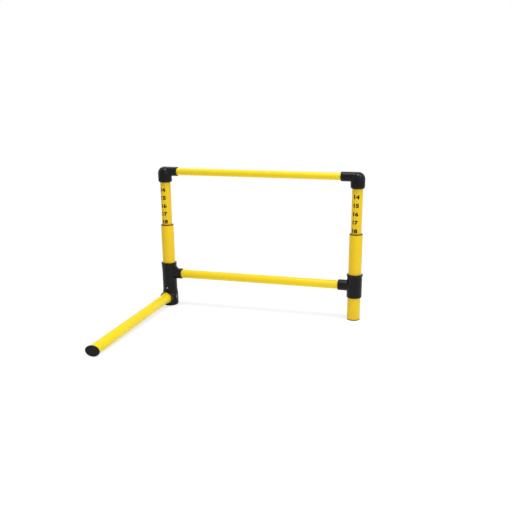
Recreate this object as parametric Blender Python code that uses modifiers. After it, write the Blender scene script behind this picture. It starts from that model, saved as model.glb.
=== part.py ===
"""Height-adjustable training hurdle, modelled as it comes apart on a bench.

Two plastic tube posts stand 617 mm apart. A thin top bar is held by two elbows on inner tubes
that telescope in the posts, so the bar can be set between its lowest and highest place.
A thicker bar ties the posts together low down, and one tube runs out in front of the left post
as a foot. Lengths are in metres, +Z is up, and the hurdle faces -Y.
"""

import math

import bpy

# Driving sizes of the frame
POST_SPACING = 0.617          # between the two post axes
OUTER_TUBE_TOP = 0.2675       # top end of both outer tubes above the floor
LOWER_BAR_HEIGHT = 0.108      # axis of the lower bar
LIFT_TRAVEL = 0.135           # how far the top bar slides
FOOT_SOCKET_HEIGHT = 0.0322   # foot axis where it meets the left post's axis
FOOT_REACH = 0.512            # from the post plane to the end cap's outer face

# Tube stock: outer diameter and wall
OUTER_TUBE_D = 0.040
OUTER_TUBE_WALL = 0.0019
INNER_TUBE_D = 0.032
INNER_TUBE_WALL = 0.0020
TOP_BAR_D = 0.022
TOP_BAR_WALL = 0.0018
LOWER_BAR_D = 0.027
LOWER_BAR_WALL = 0.0020
FOOT_TUBE_D = 0.031
FOOT_TUBE_WALL = 0.0020
TUBE_END_CHAMFER = 0.0004

# Fits
SEAT_GAP = 0.0003             # between two pieces that touch
RING_GAP = 0.00025            # between a grip ring and the tube that it rubs in

# Moulded walls of the fittings, outside the tube that each socket holds
TOP_SOCKET_WALL = 0.0033      # round the top bar
INNER_SOCKET_WALL = 0.0056    # round an inner tube
POST_SOCKET_WALL = 0.0034     # round an outer tube
BRANCH_WALL = 0.0034          # round the lower bar
FOOT_SOCKET_WALL = 0.0030     # round the foot bush
MOUTH_CHAMFER = 0.0012        # outer edge of each socket's mouth

# Elbows
LEFT_ELBOW_REACH = 0.0436     # post axis to the mouth that the top bar enters
RIGHT_ELBOW_REACH = 0.0504
ELBOW_SKIRT = 0.0232          # below the top bar's lowest line
ELBOW_CROWN_DEPTH = 0.0205    # height of the domed outer corner
ELBOW_CROWN_FLAT = 0.0010     # radius of the flat in the middle of the dome
ELBOW_CROWN_RISE = 0.0002     # how far the dome stands over the top bar's socket
ELBOW_WEB = 0.0018            # floor between the two sockets
ELBOW_MOUTH_DRAW = 0.0045     # how far the lower mouth is rounded inwards
ELBOW_MOUTH_RISE = 0.0070     # and upwards
ELBOW_BAR_STOP = 0.010        # post axis to the end of the top bar

# Base fitting and tee
FITTING_RIM_RISE = 0.0366     # from the lower bar's axis up to the rims of both fittings
RIM_LIP = 0.0018              # how far a rim stands out from its sleeve
RIM_TAPER = 0.030             # length over which the base fitting narrows below its rim
TEE_LIP_HEIGHT = 0.0045
TEE_BOTTOM_RADIUS = 0.0030
TEE_DROP = 0.0370             # from the lower bar's axis down to the tee's lower end
BASE_BULGE = 0.0022           # how far the base fitting swells round the foot
BASE_BULGE_TOP = 0.040
BASE_BULGE_BLEND = 0.016
BASE_EDGE_RADIUS = 0.0070
BASE_FLOOR = 0.0050
POST_SEAT_WEB = 0.0045        # between the foot tube's bore and the left post's seat
CORE_RADIUS = 0.0130          # hollow under the left post's seat
LEFT_BRANCH_REACH = 0.0460    # post axis to the mouth of the left branch
RIGHT_BRANCH_REACH = 0.0505   # post axis to the mouth of the tee's branch
BAR_STOP_DEPTH = 0.0020       # how far the lower bar's stop lies inside a sleeve's skin
GUSSET_LEG = 0.0090           # web in the corner above the base fitting's branch
GUSSET_WIDTH = 0.0140
GUSSET_SINK = 0.0012          # how far its corner lies inside the round walls
FOOT_SOCKET_REACH = 0.037     # post axis to the mouth of the foot socket
FOOT_TUBE_STOP = 0.004        # post axis to the inner end of the foot tube
FOOT_BUSH_D = 0.036           # bush that packs the foot tube out to its socket
FOOT_BUSH_STOP = 0.0165       # post axis to the inner end of the bush
FOOT_BUSH_SHOW = 0.0010       # how far the bush stands out of the socket's mouth

# Guide bushes at the top of the outer tubes
BUSH_FLANGE = 0.0020
BUSH_LENGTH = 0.040

# Slide plugs at the bottom of the inner tubes, each with a rubber grip ring
SLIDE_HEAD = 0.0090
SLIDE_STEM = 0.0140
SLIDE_HEAD_GAP = 0.0004       # between a plug's head and the outer tube
GRIP_RING_THICKNESS = 0.0020
PLUG_WALL = 0.0022

# Plug under the right post and cap on the foot
POST_PLUG_FLANGE = 0.0025
POST_PLUG_STEM = 0.0150
CAP_WIDTH = 0.043
CAP_HEIGHT = 0.0318
CAP_THICKNESS = 0.0035
CAP_EDGE_RADIUS = 0.0010
CAP_STEM = 0.0180

# Screws
SCREW_HEAD_RADIUS = 0.0034
SCREW_HEAD_HEIGHT = 0.0020
SCREW_SHANK_RADIUS = 0.0017
SCREW_SLOT_DEPTH = 0.0009
SCREW_SLOT_WIDTH = 0.0009
SCREW_SLOT_SHARE = 0.62       # of the head's diameter
SCREW_CROWN_SHARE = 0.6       # flat middle of the head, of its radius
SCREW_SHOULDER_SHARE = 0.9    # where the head's edge turns, of its radius
SCREW_SHOULDER_RISE = 0.6     # and of its height
SCREW_STEPS = 16
SCREW_BITE = 0.0015           # how far a screw goes in past the tube's wall
POST_SCREW_RISE = 0.0085      # above the left post's seat
FOOT_SCREW_OFFSET = 0.0105    # in front of the post axis
PAD_RADIUS = 0.0080           # round pad on the base fitting that the foot screw sits on
PAD_RISE = 0.0005             # above the base fitting's widest place

# Fineness of round shapes
ROUND_STEPS = 40
ARC_STEPS = 5
DOME_STEPS = 9
RING_SIDES = 8
OVERCUT = 0.002               # how far a cutter runs past what it opens
WELD_DISTANCE = 0.000004      # corners closer than this are one
SMOOTH_ANGLE = math.radians(32)

# Radii that follow
OUTER_R = OUTER_TUBE_D / 2
OUTER_BORE_R = OUTER_R - OUTER_TUBE_WALL
INNER_R = INNER_TUBE_D / 2
INNER_BORE_R = INNER_R - INNER_TUBE_WALL
TOP_BAR_R = TOP_BAR_D / 2
LOWER_BAR_R = LOWER_BAR_D / 2
FOOT_R = FOOT_TUBE_D / 2
FOOT_BORE_R = FOOT_R - FOOT_TUBE_WALL
SLEEVE_R = OUTER_R + POST_SOCKET_WALL
RIM_R = SLEEVE_R + RIM_LIP
BULGE_R = SLEEVE_R + BASE_BULGE
BRANCH_R = LOWER_BAR_R + BRANCH_WALL
FOOT_BUSH_R = FOOT_BUSH_D / 2
FOOT_SOCKET_R = FOOT_BUSH_R + FOOT_SOCKET_WALL
ELBOW_POST_R = INNER_R + INNER_SOCKET_WALL
ELBOW_BAR_R = TOP_BAR_R + TOP_SOCKET_WALL

# Heights that follow
ELBOW_DROP = TOP_BAR_R + ELBOW_SKIRT
BUSH_TOP = OUTER_TUBE_TOP + SEAT_GAP + BUSH_FLANGE
TOP_BAR_HEIGHT = BUSH_TOP + SEAT_GAP + ELBOW_DROP + LIFT_TRAVEL
POST_SEAT_HEIGHT = FOOT_SOCKET_HEIGHT + FOOT_R + SEAT_GAP + POST_SEAT_WEB
POST_SCREW_HEIGHT = POST_SEAT_HEIGHT + POST_SCREW_RISE
SLIDE_PLUG_TOP = OUTER_TUBE_TOP - BUSH_LENGTH
SLIDE_PLUG_BOTTOM = SLIDE_PLUG_TOP - SLIDE_HEAD
INNER_TUBE_BOTTOM = SLIDE_PLUG_TOP + SEAT_GAP
INNER_TUBE_TOP = TOP_BAR_HEIGHT - TOP_BAR_R - SEAT_GAP - ELBOW_WEB - SEAT_GAP
FITTING_RIM_HEIGHT = LOWER_BAR_HEIGHT + FITTING_RIM_RISE

# The foot slopes from its socket to the cap, which rests on the floor
FOOT_SLOPE = math.atan2(FOOT_SOCKET_HEIGHT - CAP_HEIGHT / 2, FOOT_REACH)
FOOT_LENGTH = FOOT_REACH / math.cos(FOOT_SLOPE)

# The origin is under the middle of the hurdle's box, on the floor
LEFT_X = (BULGE_R - RIM_R - POST_SPACING) / 2
RIGHT_X = LEFT_X + POST_SPACING
CAP_LEAN = (CAP_HEIGHT / 2 - CAP_EDGE_RADIUS) * math.sin(FOOT_SLOPE)
POST_Y = (FOOT_REACH + CAP_LEAN - BULGE_R) / 2


def clear_scene():
    for obj in list(bpy.data.objects):
        bpy.data.objects.remove(obj, do_unlink=True)
    for mesh in list(bpy.data.meshes):
        bpy.data.meshes.remove(mesh)


def new_collection(name):
    collection = bpy.data.collections.new(name)
    bpy.context.scene.collection.children.link(collection)
    return collection


clear_scene()
PARTS = new_collection("track_hurdle")
CUTTERS = new_collection("track_hurdle_cutters")


def make_material(name, color, roughness, metallic=0.0):
    material = bpy.data.materials.new(name)
    material.use_nodes = True
    shader = material.node_tree.nodes["Principled BSDF"]
    shader.inputs["Base Color"].default_value = (*color, 1.0)
    shader.inputs["Roughness"].default_value = roughness
    shader.inputs["Metallic"].default_value = metallic
    material.diffuse_color = (*color, 1.0)
    return material


# Colours and roughness of the four materials
YELLOW_TUBE = (0.85, 0.66, 0.04)
BLACK_PLASTIC = (0.022, 0.022, 0.024)
BLACK_RUBBER = (0.012, 0.012, 0.012)
ZINC_STEEL = (0.62, 0.62, 0.64)
TUBE_ROUGHNESS = 0.38
PLASTIC_ROUGHNESS = 0.36
RUBBER_ROUGHNESS = 0.75
STEEL_ROUGHNESS = 0.32


def oval_arc(center_r, center_z, radii, start_deg, end_deg, steps):
    """Points of an oval arc in a profile, from one angle to another; 0 points outwards and 90 up."""
    points = []
    for step in range(steps + 1):
        angle = math.radians(start_deg + (end_deg - start_deg) * step / steps)
        points.append((center_r + radii[0] * math.cos(angle), center_z + radii[1] * math.sin(angle)))
    return points


def arc(center_r, center_z, radius, start_deg, end_deg):
    """Points of a round arc in a profile."""
    return oval_arc(center_r, center_z, (radius, radius), start_deg, end_deg, ARC_STEPS)


def profile_object(name, points, closed, collection):
    """A wire profile in the XZ plane that a Screw modifier turns round the object's Z axis."""
    count = len(points)
    edges = [(i, i + 1) for i in range(count - 1)]
    if closed:
        edges.append((count - 1, 0))
    mesh = bpy.data.meshes.new(name)
    mesh.from_pydata([(r, 0.0, z) for r, z in points], edges, [])
    obj = bpy.data.objects.new(name, mesh)
    collection.objects.link(obj)
    return obj


def turned(name, points, closed=False, collection=PARTS, steps=ROUND_STEPS):
    """Turns a profile that runs down its outer side; a closed one gives a ring or a tube."""
    obj = profile_object(name, points, closed, collection)
    screw = obj.modifiers.new("turn", "SCREW")
    screw.steps = steps
    screw.render_steps = steps
    screw.use_merge_vertices = True
    screw.merge_threshold = 0.00001
    screw.use_smooth_shade = True
    return obj


def helper(obj):
    """Marks a solid that only shapes another one."""
    obj.hide_render = True
    obj.display_type = "WIRE"
    return obj


def helper_rod(name, radius, low, high):
    """A plain round bar along local Z that is used as a cutter."""
    points = [(0.0, high), (radius, high), (radius, low), (0.0, low)]
    return helper(turned(name, points, collection=CUTTERS))


def block(name, size):
    """A plain block round its own origin, among the helpers."""
    bpy.ops.mesh.primitive_cube_add(size=1.0)
    obj = bpy.context.active_object
    obj.name = name
    for collection in list(obj.users_collection):
        collection.objects.unlink(obj)
    CUTTERS.objects.link(obj)
    for vertex in obj.data.vertices:
        vertex.co = [vertex.co[axis] * size[axis] for axis in range(3)]
    return obj


def combine(target, other, operation):
    boolean = target.modifiers.new(operation.lower() + "_" + other.name, "BOOLEAN")
    boolean.operation = operation
    boolean.solver = "EXACT"
    boolean.object = other
    weld = target.modifiers.new("weld", "WELD")
    weld.merge_threshold = WELD_DISTANCE


def place(obj, location, rotation=(0.0, 0.0, 0.0), parent=None):
    obj.location = location
    obj.rotation_euler = rotation
    obj.parent = parent
    return obj


def bake(obj):
    """Makes an object's modifiers its mesh, with smooth round faces and crisp edges."""
    bpy.context.view_layer.update()
    graph = bpy.context.evaluated_depsgraph_get()
    mesh = bpy.data.meshes.new_from_object(obj.evaluated_get(graph))
    obj.modifiers.clear()
    obj.data = mesh
    mesh.name = obj.name
    mesh.shade_smooth()
    mesh.set_sharp_from_angle(angle=SMOOTH_ANGLE)


def finish(obj, label, color, roughness, metallic=0.0):
    bake(obj)
    obj.data.materials.clear()
    obj.data.materials.append(make_material(label, color, roughness, metallic))
    return obj


def copy_of(obj, name, location, rotation=(0.0, 0.0, 0.0), parent=None):
    """A second piece of the same kind, with its own object and the same mesh."""
    twin = bpy.data.objects.new(name, obj.data)
    PARTS.objects.link(twin)
    return place(twin, location, rotation, parent)


def empty(name, location, rotation=(0.0, 0.0, 0.0)):
    obj = bpy.data.objects.new(name, None)
    obj.empty_display_size = 0.05
    PARTS.objects.link(obj)
    return place(obj, location, rotation)


# A turned piece points along its own Z. These turn it to another way.
TOWARDS_RIGHT = (0.0, math.pi / 2, 0.0)
TOWARDS_LEFT = (0.0, -math.pi / 2, 0.0)
TOWARDS_FRONT = (math.pi / 2, 0.0, 0.0)


def tube(name, outer_r, bore_r, low, high):
    """A length of tube along local Z, with its outer end edges broken."""
    chamfer = TUBE_END_CHAMFER
    points = [
        (bore_r, high),
        (outer_r - chamfer, high),
        (outer_r, high - chamfer),
        (outer_r, low + chamfer),
        (outer_r - chamfer, low),
        (bore_r, low),
    ]
    return turned(name, points, closed=True)


def yellow(obj):
    return finish(obj, obj.name + "_pvc", YELLOW_TUBE, TUBE_ROUGHNESS)


def black(obj):
    return finish(obj, obj.name + "_plastic", BLACK_PLASTIC, PLASTIC_ROUGHNESS)


def make_posts():
    """The two outer tubes: the left one sits in the base fitting, the right one on its plug."""
    left_low = POST_SEAT_HEIGHT + SEAT_GAP
    left = tube("left_outer_upright", OUTER_R, OUTER_BORE_R, left_low, OUTER_TUBE_TOP)
    place(left, (LEFT_X, POST_Y, 0.0))
    hole = helper_rod("post_screw_hole", SCREW_SHANK_RADIUS + SEAT_GAP, 0.0, OUTER_R + OVERCUT)
    place(hole, (LEFT_X, POST_Y, POST_SCREW_HEIGHT), TOWARDS_FRONT)
    combine(left, hole, "DIFFERENCE")
    yellow(left)

    right_low = POST_PLUG_FLANGE + SEAT_GAP
    right = tube("right_outer_upright", OUTER_R, OUTER_BORE_R, right_low, OUTER_TUBE_TOP)
    place(right, (RIGHT_X, POST_Y, 0.0))
    yellow(right)


def make_lower_bar():
    """The bar that ties the posts together, held in the base fitting and in the tee."""
    stop = SLEEVE_R - BAR_STOP_DEPTH + SEAT_GAP
    bar = tube("lower_crossbar", LOWER_BAR_R, LOWER_BAR_R - LOWER_BAR_WALL, stop, POST_SPACING - stop)
    place(bar, (LEFT_X, POST_Y, LOWER_BAR_HEIGHT), TOWARDS_RIGHT)
    yellow(bar)


def foot_screw_height():
    """Height of the foot's axis under the foot screw."""
    return FOOT_SOCKET_HEIGHT - FOOT_SCREW_OFFSET * math.tan(FOOT_SLOPE)


def make_foot(foot_line):
    """The tube that runs out in front of the left post, its bush, and the cap that it rests on."""
    tube_end = FOOT_LENGTH - CAP_THICKNESS - SEAT_GAP
    foot = tube("foot_tube", FOOT_R, FOOT_BORE_R, FOOT_TUBE_STOP + SEAT_GAP, tube_end)
    place(foot, (0.0, 0.0, 0.0), parent=foot_line)
    hole = helper_rod("foot_screw_hole", SCREW_SHANK_RADIUS + SEAT_GAP, 0.0, FOOT_R + OVERCUT)
    place(hole, (LEFT_X, POST_Y - FOOT_SCREW_OFFSET, foot_screw_height()), TOWARDS_RIGHT)
    combine(foot, hole, "DIFFERENCE")
    yellow(foot)

    mouth = FOOT_SOCKET_REACH + FOOT_BUSH_SHOW
    bush = tube("foot_bush", FOOT_BUSH_R, FOOT_R + SEAT_GAP, FOOT_BUSH_STOP + SEAT_GAP, mouth)
    place(bush, (0.0, 0.0, 0.0), parent=foot_line)
    yellow(bush)

    bpy.ops.mesh.primitive_cylinder_add(vertices=ROUND_STEPS, radius=CAP_HEIGHT / 2, depth=CAP_THICKNESS)
    cap = bpy.context.active_object
    cap.name = "foot_end_cap"
    for collection in list(cap.users_collection):
        collection.objects.unlink(cap)
    PARTS.objects.link(cap)
    for vertex in cap.data.vertices:
        vertex.co.x *= CAP_WIDTH / CAP_HEIGHT
        vertex.co.z += FOOT_LENGTH - CAP_THICKNESS / 2
    rounding = cap.modifiers.new("edges", "BEVEL")
    rounding.width = CAP_EDGE_RADIUS
    rounding.segments = 2
    rounding.limit_method = "ANGLE"
    place(cap, (0.0, 0.0, 0.0), parent=foot_line)
    stem_r = FOOT_BORE_R - SEAT_GAP
    inside = FOOT_LENGTH - CAP_THICKNESS - CAP_STEM
    rim = FOOT_LENGTH - CAP_THICKNESS / 2
    points = [
        (stem_r - PLUG_WALL, rim),
        (stem_r, rim),
        (stem_r, inside),
        (stem_r - PLUG_WALL, inside),
    ]
    stem = helper(turned("cap_stem", points, closed=True, collection=CUTTERS))
    place(stem, (0.0, 0.0, 0.0), parent=foot_line)
    combine(cap, stem, "UNION")
    black(cap)


def make_post_plug():
    """The plug that closes the right post and stands on the floor."""
    stem_r = OUTER_BORE_R - SEAT_GAP
    edge = TUBE_END_CHAMFER * 2
    top = POST_PLUG_FLANGE + POST_PLUG_STEM
    points = [
        (0.0, POST_PLUG_FLANGE),
        (stem_r - PLUG_WALL, POST_PLUG_FLANGE),
        (stem_r - PLUG_WALL, top),
        (stem_r, top),
        (stem_r, POST_PLUG_FLANGE),
        (OUTER_R, POST_PLUG_FLANGE),
        (OUTER_R, edge),
        (OUTER_R - edge, 0.0),
        (0.0, 0.0),
    ]
    plug = turned("right_post_plug", points)
    place(plug, (RIGHT_X, POST_Y, 0.0))
    black(plug)


def branch_profile(radius, reach):
    """A branch with a chamfered mouth, from its post's axis to its mouth."""
    return [
        (0.0, reach),
        (radius - MOUTH_CHAMFER, reach),
        (radius, reach - MOUTH_CHAMFER),
        (radius, 0.0),
        (0.0, 0.0),
    ]


def make_base_fitting(foot_line):
    """One moulding that holds the left post, the lower bar and the foot."""
    bulge_low = BASE_EDGE_RADIUS
    top = FITTING_RIM_HEIGHT
    points = [(0.0, top), (RIM_R - MOUTH_CHAMFER, top), (RIM_R, top - MOUTH_CHAMFER)]
    points.append((SLEEVE_R, top - RIM_TAPER))
    points.append((SLEEVE_R, BASE_BULGE_TOP + BASE_BULGE_BLEND))
    points.append((BULGE_R, BASE_BULGE_TOP))
    points.extend(arc(BULGE_R - BASE_EDGE_RADIUS, bulge_low, BASE_EDGE_RADIUS, 0, -90))
    points.append((0.0, 0.0))
    base = turned("base_fitting", points)
    place(base, (LEFT_X, POST_Y, 0.0))

    branch = helper(turned("base_branch", branch_profile(BRANCH_R, LEFT_BRANCH_REACH), collection=CUTTERS))
    place(branch, (LEFT_X, POST_Y, LOWER_BAR_HEIGHT), TOWARDS_RIGHT)
    combine(base, branch, "UNION")
    gusset_side = GUSSET_LEG * math.sqrt(2)
    gusset = helper(block("base_gusset", (gusset_side, GUSSET_WIDTH, gusset_side)))
    gusset_place = (LEFT_X + SLEEVE_R - GUSSET_SINK, POST_Y, LOWER_BAR_HEIGHT + BRANCH_R - GUSSET_SINK)
    place(gusset, gusset_place, (0.0, math.pi / 4, 0.0))
    combine(base, gusset, "UNION")
    socket = branch_profile(FOOT_SOCKET_R, FOOT_SOCKET_REACH)
    socket = helper(turned("base_foot_socket", socket, collection=CUTTERS))
    place(socket, (0.0, 0.0, 0.0), parent=foot_line)
    combine(base, socket, "UNION")
    pad = helper_rod("base_screw_pad", PAD_RADIUS, FOOT_R, BULGE_R + PAD_RISE)
    foot_screw_place = (LEFT_X, POST_Y - FOOT_SCREW_OFFSET, foot_screw_height())
    place(pad, foot_screw_place, TOWARDS_RIGHT)
    combine(base, pad, "UNION")

    bore = helper_rod("base_post_bore", OUTER_R + SEAT_GAP, POST_SEAT_HEIGHT, top + OVERCUT)
    place(bore, (LEFT_X, POST_Y, 0.0))
    combine(base, bore, "DIFFERENCE")
    stop = SLEEVE_R - BAR_STOP_DEPTH
    bar_bore = helper_rod("base_bar_bore", LOWER_BAR_R + SEAT_GAP, stop, LEFT_BRANCH_REACH + OVERCUT)
    place(bar_bore, (LEFT_X, POST_Y, LOWER_BAR_HEIGHT), TOWARDS_RIGHT)
    combine(base, bar_bore, "DIFFERENCE")
    bush_bore = FOOT_BUSH_R + SEAT_GAP
    foot_bore_points = [
        (0.0, FOOT_SOCKET_REACH + OVERCUT),
        (bush_bore, FOOT_SOCKET_REACH + OVERCUT),
        (bush_bore, FOOT_BUSH_STOP),
        (FOOT_R + SEAT_GAP, FOOT_BUSH_STOP),
        (FOOT_R + SEAT_GAP, FOOT_TUBE_STOP),
        (0.0, FOOT_TUBE_STOP),
    ]
    foot_bore = helper(turned("base_foot_bore", foot_bore_points, collection=CUTTERS))
    place(foot_bore, (0.0, 0.0, 0.0), parent=foot_line)
    combine(base, foot_bore, "DIFFERENCE")
    core = helper_rod("base_core", CORE_RADIUS, BASE_FLOOR, POST_SEAT_HEIGHT + OVERCUT)
    place(core, (LEFT_X, POST_Y, 0.0))
    combine(base, core, "DIFFERENCE")
    hole_r = SCREW_SHANK_RADIUS + SEAT_GAP
    post_hole = helper_rod("base_post_screw_hole", hole_r, INNER_R, BULGE_R + OVERCUT)
    place(post_hole, (LEFT_X, POST_Y, POST_SCREW_HEIGHT), TOWARDS_FRONT)
    combine(base, post_hole, "DIFFERENCE")
    foot_hole = helper_rod("base_foot_screw_hole", hole_r, FOOT_BORE_R, BULGE_R + PAD_RISE + OVERCUT)
    place(foot_hole, foot_screw_place, TOWARDS_RIGHT)
    combine(base, foot_hole, "DIFFERENCE")
    black(base)


def make_tee():
    """The tee that the right post passes through and the lower bar ends in."""
    low = LOWER_BAR_HEIGHT - TEE_DROP
    top = FITTING_RIM_HEIGHT
    points = [(0.0, top), (RIM_R - MOUTH_CHAMFER, top), (RIM_R, top - MOUTH_CHAMFER)]
    points.append((RIM_R, top - TEE_LIP_HEIGHT))
    points.append((SLEEVE_R, top - TEE_LIP_HEIGHT - RIM_LIP))
    points.extend(arc(SLEEVE_R - TEE_BOTTOM_RADIUS, low + TEE_BOTTOM_RADIUS, TEE_BOTTOM_RADIUS, 0, -90))
    points.append((0.0, low))
    tee = turned("right_tee", points)
    place(tee, (RIGHT_X, POST_Y, 0.0))
    branch = helper(turned("tee_branch", branch_profile(BRANCH_R, RIGHT_BRANCH_REACH), collection=CUTTERS))
    place(branch, (RIGHT_X, POST_Y, LOWER_BAR_HEIGHT), TOWARDS_LEFT)
    combine(tee, branch, "UNION")
    bore = helper_rod("tee_post_bore", OUTER_R + SEAT_GAP, low - OVERCUT, top + OVERCUT)
    place(bore, (RIGHT_X, POST_Y, 0.0))
    combine(tee, bore, "DIFFERENCE")
    stop = SLEEVE_R - BAR_STOP_DEPTH
    bar_bore = helper_rod("tee_bar_bore", LOWER_BAR_R + SEAT_GAP, stop, RIGHT_BRANCH_REACH + OVERCUT)
    place(bar_bore, (RIGHT_X, POST_Y, LOWER_BAR_HEIGHT), TOWARDS_LEFT)
    combine(tee, bar_bore, "DIFFERENCE")
    black(tee)


def make_screw(name, tip):
    """A pan-head screw along local Z: its head is over the origin and its tip is below."""
    head = SCREW_HEAD_HEIGHT
    points = [(0.0, head), (SCREW_HEAD_RADIUS * SCREW_CROWN_SHARE, head)]
    points.append((SCREW_HEAD_RADIUS * SCREW_SHOULDER_SHARE, head * SCREW_SHOULDER_RISE))
    points.append((SCREW_HEAD_RADIUS, 0.0))
    points.append((SCREW_SHANK_RADIUS, 0.0))
    points.append((SCREW_SHANK_RADIUS, -tip + SCREW_SHANK_RADIUS))
    points.append((0.0, -tip))
    screw = turned(name, points, steps=SCREW_STEPS)
    slot_length = SCREW_HEAD_RADIUS * 2 * SCREW_SLOT_SHARE
    for turn, label in ((0.0, "a"), (math.pi / 2, "b")):
        slot = block(name + "_slot_" + label, (slot_length, SCREW_SLOT_WIDTH, SCREW_SLOT_DEPTH * 2))
        place(helper(slot), (0.0, 0.0, head), (0.0, 0.0, turn), screw)
        combine(screw, slot, "DIFFERENCE")
    return screw


def make_screws():
    """One screw holds the left post in the base fitting, the other holds the foot tube."""
    seat = SLEEVE_R + BASE_BULGE * bulge_share(POST_SCREW_HEIGHT) + SEAT_GAP
    post_screw = make_screw("post_screw", seat - OUTER_BORE_R + SCREW_BITE)
    place(post_screw, (LEFT_X, POST_Y - seat, POST_SCREW_HEIGHT), TOWARDS_FRONT)
    finish(post_screw, "post_screw_zinc", ZINC_STEEL, STEEL_ROUGHNESS, 1.0)

    seat = BULGE_R + PAD_RISE + SEAT_GAP
    foot_screw = make_screw("foot_screw", seat - FOOT_BORE_R + SCREW_BITE)
    place(foot_screw, (LEFT_X + seat, POST_Y - FOOT_SCREW_OFFSET, foot_screw_height()), TOWARDS_RIGHT)
    finish(foot_screw, "foot_screw_zinc", ZINC_STEEL, STEEL_ROUGHNESS, 1.0)


def bulge_share(height):
    """How much of the base fitting's swelling is left at a height: 1 at the foot, 0 above the blend."""
    share = (BASE_BULGE_TOP + BASE_BULGE_BLEND - height) / BASE_BULGE_BLEND
    return min(1.0, max(0.0, share))


def make_bushes():
    """The black rings in the tops of the outer tubes, which guide the inner tubes."""
    outer = OUTER_BORE_R - SEAT_GAP
    inner = INNER_R + SEAT_GAP
    flange_low = OUTER_TUBE_TOP + SEAT_GAP
    edge = TUBE_END_CHAMFER
    points = [
        (inner, BUSH_TOP),
        (OUTER_R - edge, BUSH_TOP),
        (OUTER_R, BUSH_TOP - edge),
        (OUTER_R, flange_low),
        (outer, flange_low),
        (outer, flange_low - BUSH_LENGTH),
        (inner, flange_low - BUSH_LENGTH),
    ]
    left = turned("left_guide_bush", points, closed=True)
    place(left, (LEFT_X, POST_Y, 0.0))
    black(left)
    copy_of(left, "right_guide_bush", (RIGHT_X, POST_Y, 0.0))


def make_inner_tubes(lift):
    left = tube("left_inner_upright", INNER_R, INNER_BORE_R, INNER_TUBE_BOTTOM, INNER_TUBE_TOP)
    place(left, (LEFT_X, POST_Y, -TOP_BAR_HEIGHT), parent=lift)
    yellow(left)
    copy_of(left, "right_inner_upright", (RIGHT_X, POST_Y, -TOP_BAR_HEIGHT), parent=lift)


def make_slide_plugs(lift):
    """Plugs in the inner tubes' lower ends, with the rubber rings that hold the height.

    At full height the plugs stop against the guide bushes, so the tubes can't be pulled out.
    """
    head_r = OUTER_BORE_R - SLIDE_HEAD_GAP
    ring_r = GRIP_RING_THICKNESS / 2
    ring_centre = OUTER_BORE_R - RING_GAP - ring_r
    groove_r = ring_centre - ring_r - SEAT_GAP
    groove_half = ring_r + SEAT_GAP
    stem_r = INNER_BORE_R - SEAT_GAP
    low = SLIDE_PLUG_BOTTOM
    middle = low + SLIDE_HEAD / 2
    high = SLIDE_PLUG_TOP
    edge = TUBE_END_CHAMFER * 2
    points = [
        (stem_r - PLUG_WALL, high + SLIDE_STEM),
        (stem_r, high + SLIDE_STEM),
        (stem_r, high),
        (head_r, high),
        (head_r, middle + groove_half),
        (groove_r, middle + groove_half),
        (groove_r, middle - groove_half),
        (head_r, middle - groove_half),
        (head_r, low + edge),
        (head_r - edge, low),
        (stem_r - PLUG_WALL, low),
    ]
    left = turned("left_slide_plug", points, closed=True)
    place(left, (LEFT_X, POST_Y, -TOP_BAR_HEIGHT), parent=lift)
    black(left)
    copy_of(left, "right_slide_plug", (RIGHT_X, POST_Y, -TOP_BAR_HEIGHT), parent=lift)

    section = []
    for side in range(RING_SIDES):
        angle = math.pi / 2 - math.tau * (side + 0.5) / RING_SIDES
        section.append((ring_centre + ring_r * math.cos(angle), middle + ring_r * math.sin(angle)))
    ring = turned("left_grip_ring", section, closed=True)
    place(ring, (LEFT_X, POST_Y, -TOP_BAR_HEIGHT), parent=lift)
    finish(ring, "grip_ring_rubber", BLACK_RUBBER, RUBBER_ROUGHNESS)
    copy_of(ring, "right_grip_ring", (RIGHT_X, POST_Y, -TOP_BAR_HEIGHT), parent=lift)


def make_elbow(side, post_x, reach, turn, lift):
    """An elbow that joins an inner tube to the top bar, with a rounded outer corner."""
    crown = ELBOW_BAR_R + ELBOW_CROWN_RISE
    dome = (ELBOW_POST_R - ELBOW_CROWN_FLAT, ELBOW_CROWN_DEPTH)
    points = [(0.0, crown)]
    points.extend(oval_arc(ELBOW_CROWN_FLAT, crown - ELBOW_CROWN_DEPTH, dome, 90, 0, DOME_STEPS))
    mouth = (ELBOW_MOUTH_DRAW, ELBOW_MOUTH_RISE)
    mouth_r = ELBOW_POST_R - ELBOW_MOUTH_DRAW
    points.extend(oval_arc(mouth_r, ELBOW_MOUTH_RISE - ELBOW_DROP, mouth, 0, -90, ARC_STEPS))
    points.append((0.0, -ELBOW_DROP))
    elbow = turned(side + "_elbow", points)
    place(elbow, (post_x, POST_Y, 0.0), parent=lift)

    arm = helper(turned(side + "_elbow_arm", branch_profile(ELBOW_BAR_R, reach), collection=CUTTERS))
    place(arm, (post_x, POST_Y, 0.0), turn, lift)
    combine(elbow, arm, "UNION")
    socket_top = INNER_TUBE_TOP + SEAT_GAP - TOP_BAR_HEIGHT
    post_bore = helper_rod(side + "_elbow_post_bore", INNER_R + SEAT_GAP, -ELBOW_DROP - OVERCUT, socket_top)
    place(post_bore, (post_x, POST_Y, 0.0), parent=lift)
    combine(elbow, post_bore, "DIFFERENCE")
    bar_bore = helper_rod(side + "_elbow_bar_bore", TOP_BAR_R + SEAT_GAP, ELBOW_BAR_STOP, reach + OVERCUT)
    place(bar_bore, (post_x, POST_Y, 0.0), turn, lift)
    combine(elbow, bar_bore, "DIFFERENCE")
    black(elbow)


def make_elbows(lift):
    """The right elbow is a longer moulding than the left one."""
    make_elbow("left", LEFT_X, LEFT_ELBOW_REACH, TOWARDS_RIGHT, lift)
    make_elbow("right", RIGHT_X, RIGHT_ELBOW_REACH, TOWARDS_LEFT, lift)


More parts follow.
